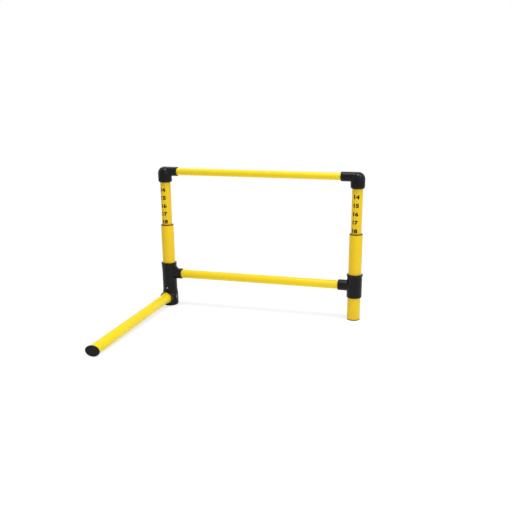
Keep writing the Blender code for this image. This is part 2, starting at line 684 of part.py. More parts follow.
def make_top_bar(lift):
    start = ELBOW_BAR_STOP + SEAT_GAP
    bar = tube("top_crossbar", TOP_BAR_R, TOP_BAR_R - TOP_BAR_WALL, start, POST_SPACING - start)
    place(bar, (LEFT_X, POST_Y, 0.0), TOWARDS_RIGHT, lift)
    yellow(bar)


def main():
    foot_turn = (math.pi / 2 + FOOT_SLOPE, 0.0, 0.0)
    foot_line = empty("foot_line", (LEFT_X, POST_Y, FOOT_SOCKET_HEIGHT), foot_turn)
    lift = empty("lift", (0.0, 0.0, TOP_BAR_HEIGHT))
    make_posts()
    make_lower_bar()
    make_foot(foot_line)
    make_post_plug()
    make_base_fitting(foot_line)
    make_tee()
    make_screws()
    make_bushes()
    make_inner_tubes(lift)
    make_slide_plugs(lift)
    make_elbows(lift)
    make_top_bar(lift)


main()
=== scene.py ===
# %% [markdown]
# # A training hurdle, dressed for its picture
# The hurdle is made of yellow plastic tube and black moulded fittings. Its sizes come from a packed
# solid model, which is loaded first and never changed. Each cell below adds one thing: the camera,
# the light, a finish, or a finer copy of one piece. All lengths are in metres, and +Z is up.
# %% Load the solid model and keep its size
import math

import bmesh
import bpy
from mathutils import Matrix, Vector


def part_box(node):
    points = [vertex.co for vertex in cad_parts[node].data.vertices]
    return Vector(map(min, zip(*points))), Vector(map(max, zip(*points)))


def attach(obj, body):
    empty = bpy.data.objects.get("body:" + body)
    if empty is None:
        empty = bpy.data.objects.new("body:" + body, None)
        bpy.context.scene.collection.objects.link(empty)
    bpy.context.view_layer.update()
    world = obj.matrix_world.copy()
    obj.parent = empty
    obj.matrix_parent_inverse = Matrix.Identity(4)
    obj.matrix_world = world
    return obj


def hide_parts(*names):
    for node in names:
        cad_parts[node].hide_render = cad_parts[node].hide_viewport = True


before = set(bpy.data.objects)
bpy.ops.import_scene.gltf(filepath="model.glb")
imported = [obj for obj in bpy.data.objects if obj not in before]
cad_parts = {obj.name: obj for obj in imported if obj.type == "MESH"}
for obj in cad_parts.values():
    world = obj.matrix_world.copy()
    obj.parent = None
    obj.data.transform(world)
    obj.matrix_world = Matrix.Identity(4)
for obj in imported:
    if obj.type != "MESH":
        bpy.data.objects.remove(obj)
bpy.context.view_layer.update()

# %% [markdown]
# The pieces share a few places: the two post axes, and the heights of the bars. They are read from
# the boxes of the solids, so that nothing here is measured twice.
# %% Read the places that the pieces share


def middle(node):
    """The centre of a solid's box."""
    low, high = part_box(node)
    return (low + high) / 2


LEFT_POST = middle("left_outer_upright")
RIGHT_POST = middle("right_outer_upright")
TOP_BAR = middle("top_crossbar")
LOWER_BAR = middle("lower_crossbar")
FLOOR_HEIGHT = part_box("base_fitting")[0].z
print("posts stand", round(RIGHT_POST.x - LEFT_POST.x, 4), "apart")

# %% [markdown]
# The camera stands where the photograph was taken from: in front of the hurdle, to its right, and
# looking down a little. Its place and its lens, of about 48 mm, were fitted to points on the tubes.
# The lens axis doesn't meet the middle of the picture, as in a photograph that has been cropped, so
# the lens is shifted by the difference.
# %% Set up the camera
IMAGE_SIDE = 512               # pixels
FOCAL_PIXELS = 681.21
CENTRE_PIXEL = (279.5, 310.2)  # where the lens axis meets the picture
SENSOR_WIDTH = 36.0            # millimetres
CAMERA_FROM_LEFT_POST = Vector((0.9288, -2.0207, 0.6559))
CAMERA_YAW = math.radians(15.255)
CAMERA_PITCH = math.radians(17.165)
CAMERA_ROLL = math.radians(0.070)

lens = bpy.data.cameras.new("photo_camera")
lens.sensor_width = SENSOR_WIDTH
lens.lens = FOCAL_PIXELS * SENSOR_WIDTH / IMAGE_SIDE
lens.shift_x = (IMAGE_SIDE / 2 - CENTRE_PIXEL[0]) / IMAGE_SIDE
lens.shift_y = (CENTRE_PIXEL[1] - IMAGE_SIDE / 2) / IMAGE_SIDE
camera = bpy.data.objects.new("photo_camera", lens)
bpy.context.scene.collection.objects.link(camera)
turn = Matrix.Rotation(CAMERA_YAW, 4, "Z") @ Matrix.Rotation(math.pi / 2 - CAMERA_PITCH, 4, "X")
turn = turn @ Matrix.Rotation(CAMERA_ROLL, 4, "Z")
stand = Vector((LEFT_POST.x, LEFT_POST.y, FLOOR_HEIGHT)) + CAMERA_FROM_LEFT_POST
camera.matrix_world = Matrix.Translation(stand) @ turn
bpy.context.scene.camera = camera
bpy.context.scene.view_settings.view_transform = "Standard"
print("lens:", round(lens.lens, 1), "mm")

# %% [markdown]
# Finishes are node trees. Writing one as arithmetic is easier to read than a page of links, so a
# small class wraps a socket: adding or multiplying two of them adds the Math node that does it.
# %% Shader sockets that take part in sums


class Value:
    """One output of a finish's node tree."""

    def __init__(self, finish, socket):
        self.finish = finish
        self.socket = socket

    def math(self, operation, first, second):
        return self.finish.node("ShaderNodeMath", {"operation": operation}, {0: first, 1: second})

    def __add__(self, other):
        return self.math("ADD", self, other)

    def __sub__(self, other):
        return self.math("SUBTRACT", self, other)

    def __rsub__(self, other):
        return self.math("SUBTRACT", other, self)

    def __mul__(self, other):
        return self.math("MULTIPLY", self, other)

    __radd__ = __add__
    __rmul__ = __mul__


class Finish:
    """A material whose nodes are added by name, settings first and then the values of its sockets."""

    def __init__(self, name):
        self.material = bpy.data.materials.new(name)
        self.material.use_nodes = True
        self.tree = self.material.node_tree
        self.tree.nodes.clear()

    def node(self, kind, settings=None, inputs=None, out=0):
        made = self.tree.nodes.new(kind)
        for key, value in (settings or {}).items():
            setattr(made, key, value)
        for key, value in (inputs or {}).items():
            if isinstance(value, Value):
                self.tree.links.new(value.socket, made.inputs[key])
            else:
                made.inputs[key].default_value = value
        return Value(self, made.outputs[out])

    def place(self):
        """Where a point lies on the object, in metres."""
        return self.node("ShaderNodeTexCoord", out="Object")

    def stretched(self, scale):
        """Object coordinates, multiplied along each axis."""
        return self.node("ShaderNodeMapping", inputs={"Vector": self.place(), "Scale": scale})

    def noise(self, vector, scale, detail=2.0):
        """A cloudy pattern from 0 to 1; more detail adds finer clouds."""
        sockets = {"Vector": vector, "Scale": scale, "Detail": detail}
        return self.node("ShaderNodeTexNoise", inputs=sockets)

    def step(self, value, low, high):
        """Rises smoothly from 0 at low to 1 at high."""
        sockets = {"Value": value, "From Min": low, "From Max": high}
        return self.node("ShaderNodeMapRange", {"interpolation_type": "SMOOTHSTEP"}, sockets)

    def blend(self, share, first, second):
        """A colour between two colours."""
        return self.node("ShaderNodeMix", {"data_type": "RGBA"}, {0: share, 6: first, 7: second}, out=2)

    def bump(self, height, distance):
        """A relief as deep as the distance, in metres, where the height goes from 0 to 1."""
        return self.node("ShaderNodeBump", inputs={"Height": height, "Distance": distance})

    def output(self, surface):
        end = self.tree.nodes.new("ShaderNodeOutputMaterial")
        self.tree.links.new(surface.socket, end.inputs["Surface"])
        return self.material


# %% [markdown]
# The photograph has a pure white background. Here the world is white where the camera, or a
# reflection, looks straight at it, and dimmer where it only gives light. The floor is mostly its own
# white, with a thin share of plain matt paint that still takes the hurdle's soft shadow.
# %% Make the world and the floor
WORLD_LIGHT = 0.50
FLOOR_RADIUS = 5.0
FLOOR_SIDES = 96
SHADOW_SHARE = 0.30            # how much of the floor's white comes from light that falls on it
SHADOW_FADE = (0.9, 1.8)       # distances from the hurdle between which the shadow fades out
FLOOR_PAINT = (0.92, 0.92, 0.92, 1.0)
WHITE = (1.0, 1.0, 1.0, 1.0)

world = bpy.data.worlds.new("white_studio")
world.use_nodes = True
sky = world.node_tree
sky.nodes.clear()
rays = sky.nodes.new("ShaderNodeLightPath")
seen = sky.nodes.new("ShaderNodeMath")
seen.operation = "MAXIMUM"
sky.links.new(rays.outputs["Is Camera Ray"], seen.inputs[0])
sky.links.new(rays.outputs["Is Glossy Ray"], seen.inputs[1])
seen_or_through = sky.nodes.new("ShaderNodeMath")
seen_or_through.operation = "MAXIMUM"
sky.links.new(seen.outputs[0], seen_or_through.inputs[0])
sky.links.new(rays.outputs["Is Transmission Ray"], seen_or_through.inputs[1])
level = sky.nodes.new("ShaderNodeMapRange")
level.inputs["To Min"].default_value = WORLD_LIGHT
level.inputs["To Max"].default_value = 1.0
sky.links.new(seen_or_through.outputs[0], level.inputs["Value"])
glow = sky.nodes.new("ShaderNodeBackground")
glow.inputs["Color"].default_value = WHITE
sky.links.new(level.outputs["Result"], glow.inputs["Strength"])
sky_end = sky.nodes.new("ShaderNodeOutputWorld")
sky.links.new(glow.outputs["Background"], sky_end.inputs["Surface"])
bpy.context.scene.world = world


def floor_finish():
    """White by itself, with a share of matt paint near the hurdle."""
    finish = Finish("studio_floor")
    far = finish.node("ShaderNodeVectorMath", {"operation": "LENGTH"}, {0: finish.place()}, out="Value")
    share = (1 - finish.step(far, *SHADOW_FADE)) * SHADOW_SHARE
    own = finish.node("ShaderNodeEmission", inputs={"Color": WHITE, "Strength": 1.0})
    paint = finish.node("ShaderNodeBsdfDiffuse", inputs={"Color": FLOOR_PAINT})
    seen_floor = finish.node("ShaderNodeMixShader", inputs={0: share, 1: own, 2: paint})
    path = finish.node("ShaderNodeLightPath", out="Is Camera Ray")
    return finish.output(finish.node("ShaderNodeMixShader", inputs={0: path, 1: paint, 2: seen_floor}))


bpy.ops.mesh.primitive_circle_add(vertices=FLOOR_SIDES, radius=FLOOR_RADIUS, fill_type="NGON")
floor = bpy.context.object
floor.name = "studio_floor"
floor.location.z = FLOOR_HEIGHT
floor.data.materials.append(floor_finish())
print("floor at", round(FLOOR_HEIGHT, 4))

# %% [markdown]
# The light in the photograph comes mostly from above: the foot and the tops of the bars are lighter
# than the posts. A post is a little lighter on its right side, and the right elbow's dome has a small
# glint that faces right and up. So a large softbox hangs over the hurdle, a small bright one hangs
# high on the right, and a wide weak one stands in front on the right. One more hangs behind on the
# left, where it lights the tops of the black arms and the hurdle's back.
# %% Hang the lamps
AIM = Vector((0.0, LEFT_POST.y, 0.25))


def lamp(name, place, side, energy):
    """A square soft lamp that faces the hurdle."""
    light = bpy.data.lights.new(name, "AREA")
    light.size = side
    light.energy = energy
    holder = bpy.data.objects.new(name, light)
    bpy.context.scene.collection.objects.link(holder)
    holder.location = place
    holder.rotation_euler = (AIM - Vector(place)).to_track_quat("-Z", "Y").to_euler()


lamp("top_softbox", (0.4, -0.3, 3.3), 1.5, 80.0)
lamp("high_right_softbox", (2.2, -0.2, 2.6), 0.55, 20.0)
lamp("front_right_softbox", (2.6, -2.2, 1.4), 1.6, 19.0)
lamp("back_left_softbox", (-1.5, 1.3, 2.6), 0.9, 10.0)

# %% [markdown]
# The tubes are extruded PVC: one even, saturated yellow right through the wall. What gives it away as
# extruded is a very faint drawing grain along the tube, so the noise changes slowly along the tube
# and quickly across it. Handling leaves a few dull streaks the same way. The one yellow is painted in
# three copies: a darker, more orange one on the uprights as painted shade, and lighter ones on the bars
# and the foot as painted light from above.
# %% Mix the yellow tube plastic
# Lit and shaded copies of one yellow: the posts' copy is darker as painted shade, the bars' and the
# foot's are lighter as painted light.
SHADED_POST_YELLOW = (0.70, 0.475, 0.003, 1.0)
LIT_BAR_YELLOW = (0.74, 0.545, 0.003, 1.0)
LIT_FOOT_YELLOW = (0.70, 0.550, 0.003, 1.0)
DEEPER = (0.96, 0.90, 0.70, 1.0)   # what the colour is multiplied by in its deeper patches
DEEPER_SHARE = 0.5             # of the deeper colour, at most
DEEPER_FROM = (0.35, 0.75)     # of the patches' noise: below and above which there is none and all
DULL_FROM = (0.58, 0.75)       # the same for the dull streaks
TUBE_ROUGHNESS = 0.34
TUBE_SHINE = 0.28              # specular level: less than glass, as the tube is satin
GRAIN_ACROSS = 900.0
GRAIN_ALONG = 7.0
GRAIN_DEPTH = 0.00003
STREAK_ACROSS = 260.0
STREAK_DEPTH = 0.3             # of a streak, over that of the grain
TUBE_PATCHES = 9.0


def tube_plastic(name, color, along):
    """Yellow PVC with its drawing grain along one axis: 0 for X, 1 for Y or 2 for Z."""
    finish = Finish(name)
    grain_scale = [GRAIN_ACROSS] * 3
    grain_scale[along] = GRAIN_ALONG
    streak_scale = [STREAK_ACROSS] * 3
    streak_scale[along] = GRAIN_ALONG
    grain = finish.noise(finish.stretched(grain_scale), 1.0)
    streaks = finish.noise(finish.stretched(streak_scale), 1.0, detail=4.0)
    patches = finish.noise(finish.place(), TUBE_PATCHES, detail=3.0)
    dull = finish.step(streaks, *DULL_FROM)
    deeper = [part * share for part, share in zip(color, DEEPER)]
    sockets = {
        "Base Color": finish.blend(finish.step(patches, *DEEPER_FROM) * DEEPER_SHARE, color, deeper),
        "Roughness": TUBE_ROUGHNESS + patches * 0.08 + dull * 0.10,
        "Specular IOR Level": TUBE_SHINE,
        "Normal": finish.bump(grain + dull * STREAK_DEPTH, GRAIN_DEPTH),
    }
    return finish.output(finish.node("ShaderNodeBsdfPrincipled", inputs=sockets))


# The upright tubes get the shaded copy of the yellow and the lying tubes the lit ones: painted light
# and shade.
UPRIGHT_PLASTIC = tube_plastic("yellow_pvc_upright", SHADED_POST_YELLOW, 2)
BAR_PLASTIC = tube_plastic("yellow_pvc_bar", LIT_BAR_YELLOW, 0)
FOOT_PLASTIC = tube_plastic("yellow_pvc_foot", LIT_FOOT_YELLOW, 1)

# %% [markdown]
# The fittings are injection moulded in black plastic. The mould was finely spark-eroded, so the skin
# has a shallow, even texture, and where its two halves met there is a hair-thin raised line along the
# plane through all the sockets.
# %% Mix the black moulded plastic
BLACK = (0.0036, 0.0036, 0.0036, 1.0)
BLACK_WORN = (0.010, 0.010, 0.010, 1.0)
WORN_SHARE = 0.5               # of the worn colour, at most
WORN_FROM = (0.55, 0.80)       # of the patches' noise: below and above which there is none and all
WORN_PATCHES = 45.0
MOULDED_ROUGHNESS = 0.22
MOULDED_SHINE = 0.15
SKIN_SCALE = 1500.0
SKIN_DEPTH = 0.00005
SEAM_WIDTH = 0.00035
SEAM_HEIGHT = 0.0002


def moulded_plastic():
    finish = Finish("black_moulded_plastic")
    skin = finish.noise(finish.place(), SKIN_SCALE, detail=1.0)
    patches = finish.noise(finish.place(), WORN_PATCHES, detail=3.0)
    rubbed = finish.step(patches, *WORN_FROM)
    depth = finish.node("ShaderNodeSeparateXYZ", inputs={0: finish.place()}, out="Y")
    off_seam = finish.node("ShaderNodeMath", {"operation": "ABSOLUTE"}, {0: depth - LEFT_POST.y})
    seam = 1 - finish.step(off_seam, 0.0, SEAM_WIDTH)
    relief = {"Height": seam, "Distance": SEAM_HEIGHT, "Normal": finish.bump(skin, SKIN_DEPTH)}
    sockets = {
        "Base Color": finish.blend(rubbed * WORN_SHARE, BLACK, BLACK_WORN),
        "Roughness": MOULDED_ROUGHNESS + skin * 0.06 + rubbed * 0.08,
        "Specular IOR Level": MOULDED_SHINE,
        "Normal": finish.node("ShaderNodeBump", inputs=relief),
    }
    return finish.output(finish.node("ShaderNodeBsdfPrincipled", inputs=sockets))


MOULDED_PLASTIC = moulded_plastic()

# %% [markdown]
# Three small finishes are left: zinc on the screws, with a faint cloudiness, the dull rubber of the
# rings inside the posts, and the ink of the printed numbers.
# %% Mix the zinc, the rubber and the ink
ZINC_DARK = (0.16, 0.16, 0.17, 1.0)
ZINC_LIGHT = (0.26, 0.26, 0.26, 1.0)
ZINC_ROUGHNESS = 0.26
CLOUD_SCALE = 700.0
CLOUD_DEPTH = 0.00002
GRAIN_LIGHTER = 1.8            # how much lighter the tops of a dull grain are


def zinc():
    finish = Finish("zinc_plated_steel")
    cloud = finish.noise(finish.place(), CLOUD_SCALE, detail=3.0)
    sockets = {
        "Base Color": finish.blend(cloud, ZINC_DARK, ZINC_LIGHT),
        "Metallic": 1.0,
        "Roughness": ZINC_ROUGHNESS + cloud * 0.16,
        "Normal": finish.bump(cloud, CLOUD_DEPTH),
    }
    return finish.output(finish.node("ShaderNodeBsdfPrincipled", inputs=sockets))


def dull_plain(name, color, roughness, shine, grain_scale, grain_depth):
    """A matt finish with a fine grain."""
    finish = Finish(name)
    grain = finish.noise(finish.place(), grain_scale, detail=3.0)
    lighter = [part * GRAIN_LIGHTER for part in color[:3]] + [1.0]
    sockets = {
        "Base Color": finish.blend(grain, color, lighter),
        "Roughness": roughness + grain * 0.12,
        "Specular IOR Level": shine,
        "Normal": finish.bump(grain, grain_depth),
    }
    return finish.output(finish.node("ShaderNodeBsdfPrincipled", inputs=sockets))


ZINC = zinc()
RUBBER = dull_plain("grip_rubber", (0.008, 0.008, 0.008, 1.0), 0.70, 0.30, 1200.0, 0.00004)
INK = dull_plain("scale_ink", (0.016, 0.007, 0.004, 1.0), 0.50, 0.05, 2500.0, 0.00001)

# %% [markdown]
# Pieces are modelled one at a time, upright over the origin, and then moved to their place. Moving
# goes into the mesh, so that every finished object sits at the origin. These are the hand tools:
# clearing the selection, picking faces or edges in edit mode, and seating a finished piece.
# %% Lay out the hand tools
TINY = 0.00001
ROUND_SIDES = 96
SMOOTH_UP_TO = math.radians(38)  # an edge that bends more than this stays sharp


def deselect():
    if bpy.context.mode != "OBJECT":
        bpy.ops.object.mode_set(mode="OBJECT")
    bpy.ops.object.select_all(action="DESELECT")


def pick(kind, test):
    """Selects the faces, edges or corners of the mesh being edited for which the test holds."""
    bpy.ops.mesh.select_mode(type=kind)
    bpy.ops.mesh.select_all(action="DESELECT")
    mesh = bpy.context.object.data
    sketch = bmesh.from_edit_mesh(mesh)
    groups = {"FACE": sketch.faces, "EDGE": sketch.edges, "VERT": sketch.verts}
    for item in groups[kind]:
        if test(item):
            item.select_set(True)
    bmesh.update_edit_mesh(mesh)


def apply_modifiers(piece):
    deselect()
    bpy.context.view_layer.objects.active = piece
    piece.select_set(True)
    for modifier in list(piece.modifiers):
        bpy.ops.object.modifier_apply(modifier=modifier.name)


def seat(piece, place, turn=None):
    """Turns and moves a finished piece, and writes that into its mesh."""
    piece.data.transform(Matrix.Translation(place) @ (turn or Matrix.Identity(4)))
    piece.data.update()
    return piece


def dress(piece, body, slot, material, *nodes):
    """Smooths, paints and hands over a piece that stands for some solids."""
    deselect()
    bpy.context.view_layer.objects.active = piece
    piece.select_set(True)
    bpy.ops.object.shade_smooth_by_angle(angle=SMOOTH_UP_TO)
    piece.data.materials.clear()
    piece.data.materials.append(material)
    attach(piece, body)
    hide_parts(*nodes)
    piece.select_set(False)


TURN_TO_RIGHT = Matrix.Rotation(math.pi / 2, 4, "Y")
TURN_TO_LEFT = Matrix.Rotation(-math.pi / 2, 4, "Y")

# %% [markdown]
# A tube starts as a cylinder of its full length. Its two end faces are inset by the wall, and the
# inner faces are bridged, which opens the bore. A small bevel then breaks the sawn edges.
# %% Model the tubes
SAWN_EDGE = 0.0004
SAWN_EDGE_STEPS = 3


def is_end_ring(edge):
    """True for an edge that runs round the tube at one of its ends."""
    corners = [v.co for v in edge.verts]
    level = abs(corners[0].z - corners[1].z) < TINY
    radii = [math.hypot(c.x, c.y) for c in corners]
    return level and abs(radii[0] - radii[1]) < TINY


def tube(name, radius, wall, low, high):
    deselect()
    centre = (0.0, 0.0, (low + high) / 2)
    bpy.ops.mesh.primitive_cylinder_add(
        vertices=ROUND_SIDES, radius=radius, depth=high - low, location=centre)
    piece = bpy.context.object
    piece.name = name
    piece.data.name = name
    bpy.ops.object.transform_apply(location=True, rotation=True, scale=True)
    bpy.ops.object.mode_set(mode="EDIT")
    pick("FACE", lambda face: abs(face.normal.z) > 0.9)
    bpy.ops.mesh.inset(thickness=wall, use_individual=True)
    bpy.ops.mesh.bridge_edge_loops()
    pick("EDGE", is_end_ring)
    bpy.ops.mesh.bevel(offset=SAWN_EDGE, segments=SAWN_EDGE_STEPS, affect="EDGES")
    bpy.ops.object.mode_set(mode="OBJECT")
    return piece


OUTER_WALL = 0.0019
INNER_WALL = 0.0020
TOP_BAR_WALL = 0.0018
LOWER_BAR_WALL = 0.0020


def upright(node, wall, body):
    low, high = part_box(node)
    centre = middle(node)
    piece = tube(node + "_tube", (high.x - low.x) / 2, wall, low.z, high.z)
    seat(piece, (centre.x, centre.y, 0.0))
    dress(piece, body, "yellow_tube", UPRIGHT_PLASTIC, node)


def cross_tube(node, wall, body):
    low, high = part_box(node)
    centre = middle(node)
    piece = tube(node + "_tube", (high.z - low.z) / 2, wall, low.x, high.x)
    seat(piece, (0.0, centre.y, centre.z), TURN_TO_RIGHT)
    dress(piece, body, "yellow_tube", BAR_PLASTIC, node)


upright("left_outer_upright", OUTER_WALL, "frame")
upright("right_outer_upright", OUTER_WALL, "frame")
upright("left_inner_upright", INNER_WALL, "lift")
upright("right_inner_upright", INNER_WALL, "lift")
cross_tube("lower_crossbar", LOWER_BAR_WALL, "frame")
cross_tube("top_crossbar", TOP_BAR_WALL, "lift")
print("tubes modelled")

# %% [markdown]
# The foot tube slopes down a little to its end cap, so its line is worked out from the box of its
# solid: the box is longer and taller than the tube's own line by the tube's radius at each end. How
# much longer depends on the slope, so the slope is worked out in a few rounds.
# %% Find the line of the foot and model its two tubes
SLOPE_ROUNDS = 4
FOOT_WALL = 0.0020
SEAT_GAP = 0.0003              # between two pieces that touch

foot_low, foot_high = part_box("foot_tube")
foot_radius = (foot_high.x - foot_low.x) / 2
foot_slope = 0.0
for _ in range(SLOPE_ROUNDS):
    drop = foot_high.z - foot_low.z - 2 * foot_radius * math.cos(foot_slope)
    run = foot_high.y - foot_low.y - 2 * foot_radius * math.sin(foot_slope)
    foot_slope = math.atan2(drop, run)
foot_start_height = foot_high.z - foot_radius * math.cos(foot_slope)
foot_start = foot_high.y - foot_radius * math.sin(foot_slope)
foot_root_height = foot_start_height + (LEFT_POST.y - foot_start) * math.tan(foot_slope)
FOOT_ROOT = Vector((LEFT_POST.x, LEFT_POST.y, foot_root_height))
TURN_TO_FOOT = Matrix.Rotation(math.pi / 2 + foot_slope, 4, "X")


def along_foot(y):
    """How far along the foot's line a place in front of the post is."""
    return (LEFT_POST.y - y) / math.cos(foot_slope)


foot_begin = along_foot(foot_start)
foot_end = foot_begin + run / math.cos(foot_slope)
foot = tube("foot_tube_tube", foot_radius, FOOT_WALL, foot_begin, foot_end)
dress(seat(foot, FOOT_ROOT, TURN_TO_FOOT), "frame", "yellow_tube", FOOT_PLASTIC, "foot_tube")

bush_low, bush_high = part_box("foot_bush")
bush_radius = (bush_high.x - bush_low.x) / 2
lean = bush_radius * math.sin(foot_slope)
bush_begin = along_foot(bush_high.y - lean)
bush_end = along_foot(bush_low.y + lean)
bush_wall = bush_radius - foot_radius - SEAT_GAP
foot_bush = tube("foot_bush_ring", bush_radius, bush_wall, bush_begin, bush_end)
dress(seat(foot_bush, FOOT_ROOT, TURN_TO_FOOT), "frame", "yellow_tube", FOOT_PLASTIC, "foot_bush")
print("foot slopes", round(math.degrees(foot_slope), 3), "degrees")

# %% [markdown]
# A round moulding is turned. Its outline is drawn in edit mode from a single corner, one extrusion a
# point, and spun a full turn round the upright axis. The ends on the axis close by themselves.
# %% Turn round pieces from an outline


def arc(centre_r, centre_z, radius, start, end, steps=6):
    """Outline points on a round or oval arc; 0 degrees points outwards and 90 up."""
    across, up = radius if isinstance(radius, tuple) else (radius, radius)
    points = []
    for step in range(steps + 1):
        angle = math.radians(start + (end - start) * step / steps)
        points.append((centre_r + across * math.cos(angle), centre_z + up * math.sin(angle)))
    return points


def turned(name, outline, closed=False, sides=ROUND_SIDES):
    """Draws (radius, height) points and spins them; a closed outline makes a ring."""
    deselect()
    bpy.ops.mesh.primitive_plane_add(size=0.001)
    piece = bpy.context.object
    piece.name = name
    piece.data.name = name
    bpy.ops.object.mode_set(mode="EDIT")
    bpy.ops.mesh.select_mode(type="VERT")
    bpy.ops.mesh.select_all(action="SELECT")
    bpy.ops.mesh.merge(type="CENTER")
    here = Vector((0.0, 0.0, 0.0))
    for number, (r, z) in enumerate(outline + outline[:1] if closed else outline):
        step = Vector((r, 0.0, z)) - here
        if number == 0:
            bpy.ops.transform.translate(value=step)
        else:
            bpy.ops.mesh.extrude_region_move(TRANSFORM_OT_translate={"value": step})
        here = here + step
    bpy.ops.mesh.select_all(action="SELECT")
    bpy.ops.mesh.spin(
        steps=sides, angle=math.tau, center=(0, 0, 0), axis=(0, 0, 1), use_auto_merge=False)
    bpy.ops.mesh.select_all(action="SELECT")
    bpy.ops.mesh.remove_doubles(threshold=TINY)
    bpy.ops.mesh.normals_make_consistent(inside=False)
    bpy.ops.object.mode_set(mode="OBJECT")
    return piece


# %% [markdown]
# A moulded fitting has soft inner corners where its sleeves meet, which plain cylinders don't. So its
# outer shapes are joined, remeshed into one even skin and smoothed, as clay would be, and only then
# are the sockets bored with clean cutters, which leaves their mouths crisp.
# %% Blend shapes into one moulded skin, and bore it
SKIN_VOXEL = 0.00062
SKIN_SMOOTHING = 8


def join(pieces):
    deselect()
    for piece in pieces:
        piece.select_set(True)
    bpy.context.view_layer.objects.active = pieces[0]
    bpy.ops.object.join()
    return pieces[0]


def moulded(name, pieces):
    """One smooth skin round overlapping shapes."""
    skin = join(pieces)
    skin.name = name
    skin.data.name = name
    remesh = skin.modifiers.new("skin", "REMESH")
    remesh.mode = "VOXEL"
    remesh.voxel_size = SKIN_VOXEL
    smooth = skin.modifiers.new("soft_corners", "SMOOTH")
    smooth.factor = 0.5
    smooth.iterations = SKIN_SMOOTHING
    apply_modifiers(skin)
    return skin


def bored(piece, cutters):
    """Cuts separate cutters out of a piece and throws them away."""
    tool = join(cutters)
    cut = piece.modifiers.new("bores", "BOOLEAN")
    cut.operation = "DIFFERENCE"
    cut.solver = "EXACT"
    cut.object = tool
    apply_modifiers(piece)
    bpy.data.objects.remove(tool)
    return piece


MOUTH_ROUND = 0.0012           # outer edge of a socket's mouth
BORE_CHAMFER = 0.0005          # inner edge of a socket's mouth
OVERCUT = 0.002                # how far a cutter runs out past a mouth


def arm(name, radius, reach):
    """A branch from a sleeve's axis to its rounded mouth."""
    outline = [(0.0, reach)]
    outline += arc(radius - MOUTH_ROUND, reach - MOUTH_ROUND, MOUTH_ROUND, 90, 0)
    outline += [(radius, 0.0), (0.0, 0.0)]
    return turned(name, outline)


def bore(name, radius, bottom, mouth):
    """A cutter for a socket that opens upwards, with a broken edge at its mouth."""
    wide = radius + BORE_CHAMFER
    outline = [(0.0, mouth + OVERCUT), (wide, mouth + OVERCUT), (wide, mouth)]
    outline += [(radius, mouth - BORE_CHAMFER), (radius, bottom), (0.0, bottom)]
    return turned(name, outline)


UPSIDE_DOWN = Matrix.Rotation(math.pi, 4, "X")

# %% [markdown]
# An elbow takes the inner tube from below and the top bar from the side. Its outer corner is a dome,
# and its lower mouth is drawn in like a cuff. Each is modelled over the origin, with the middle of the
# top bar at height zero and its arm to the right. The right elbow, whose arm is longer, is then turned
# half round.
# %% Model the elbows
ELBOW_CROWN_DEPTH = 0.0205     # height of the domed corner
ELBOW_CROWN_FLAT = 0.0010      # radius of the flat in the middle of the dome
ELBOW_CROWN_RISE = 0.0002      # how far the dome stands over the arm
ELBOW_CUFF = (0.0045, 0.0070)  # how far the lower mouth is rounded inwards and upwards
DOME_STEPS = 16
CUFF_STEPS = 10

inner_low, inner_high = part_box("left_inner_upright")
inner_radius = (inner_high.y - inner_low.y) / 2
bar_low, bar_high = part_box("top_crossbar")
bar_radius = (bar_high.z - bar_low.z) / 2
bar_stop = bar_low.x - LEFT_POST.x - SEAT_GAP


def elbow(side, post, turn):
    low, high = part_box(side + "_elbow")
    radius = (high.y - low.y) / 2
    reach = max(high.x - post.x, post.x - low.x)
    drop = TOP_BAR.z - low.z
    crown = high.z - TOP_BAR.z
    dome = (radius - ELBOW_CROWN_FLAT, ELBOW_CROWN_DEPTH)
    outline = [(0.0, crown)]
    outline += arc(ELBOW_CROWN_FLAT, crown - ELBOW_CROWN_DEPTH, dome, 90, 0, DOME_STEPS)
    outline += arc(radius - ELBOW_CUFF[0], ELBOW_CUFF[1] - drop, ELBOW_CUFF, 0, -90, CUFF_STEPS)
    outline += [(0.0, -drop)]
    sleeve = turned(side + "_elbow_sleeve", outline)
    side_arm = seat(arm(side + "_elbow_arm", crown - ELBOW_CROWN_RISE, reach), Vector(), TURN_TO_RIGHT)
    piece = moulded(side + "_elbow_moulding", [sleeve, side_arm])
    post_bore = bore("post_bore", inner_radius + SEAT_GAP, TOP_BAR.z - inner_high.z - SEAT_GAP, drop)
    seat(post_bore, Vector(), UPSIDE_DOWN)
    bar_bore = seat(bore("bar_bore", bar_radius + SEAT_GAP, bar_stop, reach), Vector(), TURN_TO_RIGHT)
    bored(piece, [post_bore, bar_bore])
    seat(piece, (post.x, post.y, TOP_BAR.z), turn)
    dress(piece, "lift", "black_plastic", MOULDED_PLASTIC, side + "_elbow")
    print(side, "elbow faces:", len(piece.data.polygons))


elbow("left", LEFT_POST, None)
elbow("right", RIGHT_POST, Matrix.Rotation(math.pi, 4, "Z"))

# %% [markdown]
# The base fitting is the biggest moulding: a sleeve for the left post that flares a little to its
# rim, a branch for the lower bar with a small web in the corner above it, and a wide socket for the
# foot. It swells towards the ground, where it has a rounded edge and stands flat.
# %% Model the base fitting
POST_WALL = 0.0034             # sleeve round a post
RIM_LIP = 0.0018
RIM_TAPER = 0.030              # length over which the fitting narrows below its rim
BULGE_TOP = 0.040
BULGE_BLEND = 0.016
BASE_EDGE = 0.0070
BRANCH_WALL = 0.0034
FOOT_SOCKET_WALL = 0.0030
GUSSET_LEG = 0.0090
GUSSET_WIDTH = 0.0140
GUSSET_SINK = 0.0012           # how far its corner lies inside the round walls
PAD_RADIUS = 0.0080            # round pad that the foot's screw sits on
PAD_RISE = 0.0005              # over the fitting's widest place
LEFT_BRANCH_REACH = 0.0460     # from the post's axis to the branch's mouth
FOOT_SOCKET_REACH = 0.0370
POST_SEAT_DEPTH = 0.0003       # from the post's end down to its seat

